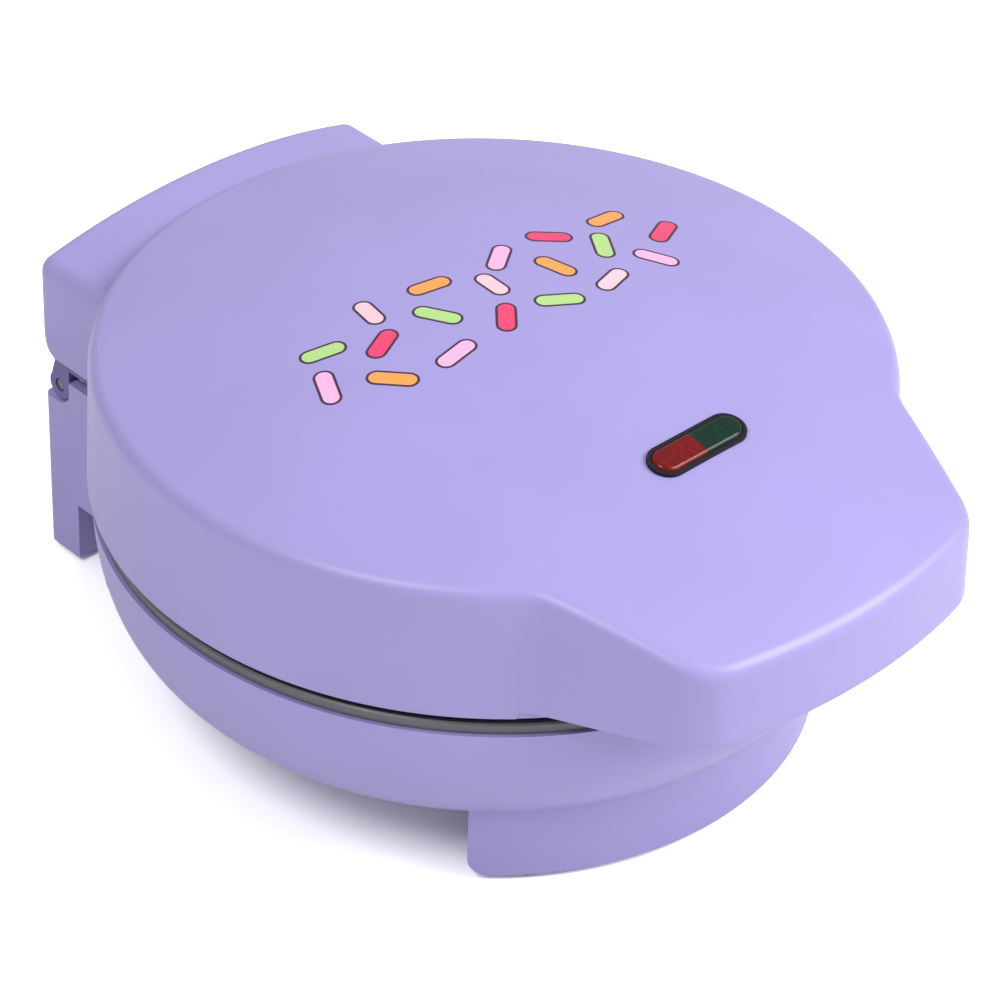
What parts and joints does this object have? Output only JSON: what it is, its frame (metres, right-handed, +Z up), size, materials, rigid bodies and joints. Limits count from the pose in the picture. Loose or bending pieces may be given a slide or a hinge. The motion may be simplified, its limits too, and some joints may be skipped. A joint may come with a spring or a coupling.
{
  "type": "cake pop maker",
  "caption": "Round countertop cake pop maker: domed hinged lid with front handle and indicator light, cupped baking plates, curved front foot and rear legs.",
  "frame": {"origin": "middle of the whole cooker's box, on the surface it stands on", "axes": "+Z up, -Y towards the handle, +Y towards the hinge, +X to the right seen from the handle"},
  "size_m": [0.2226, 0.2661, 0.1246],
  "materials": {
    "housing": "satin lilac moulded plastic",
    "underside": "moulded lilac plastic",
    "feet": "matt",
    "plates": "dark non-stick coating on cast aluminium",
    "element": "heat-dulled steel sheath",
    "sheet": "mill",
    "screws": "zinc plated",
    "pins": "ground",
    "arms": "dark glass-filled plastic",
    "ceramic_body": "unglazed",
    "dark_plastic": "fine matt",
    "red_lens": "clear polished",
    "green_lens": "clear polished",
    "lamp_glass": "clear"
  },
  "bodies": {
    "base": {"base_shell": "housing", "base_cover": "underside", "base_cover_screws": "screws", "rubber_feet": "feet", "lower_plate": "plates", "lower_plate_screws": "screws", "lower_heating_element": "element", "lower_heat_shield": "sheet", "lower_shield_bolts": "screws", "thermostat": "ceramic_body", "thermal_fuse": "element", "terminal_block": "dark_plastic", "cord_gland": "dark_plastic", "hinge_pins": "pins"},
    "lid": {"lid_shell": "housing", "handle_cover": "housing", "handle_cover_screws": "screws", "hinge_arms": "arms", "hinge_arm_screws": "screws", "upper_plate": "plates", "upper_plate_screws": "screws", "upper_heating_element": "element", "upper_heat_shield": "sheet", "upper_shield_bolts": "screws", "indicator_bezel": "dark_plastic", "indicator_lens_red": "red_lens", "indicator_lens_green": "green_lens", "indicator_lamps": "lamp_glass", "lamp_holder": "dark_plastic"}
  },
  "joints": [
    {"name": "lid_hinge", "type": "hinge", "parent": "base", "child": "lid", "pos_m": [0, 0.1259, 0.0595], "axis": [-1, 0, 0], "range_deg": [0, 100]}
  ]
}
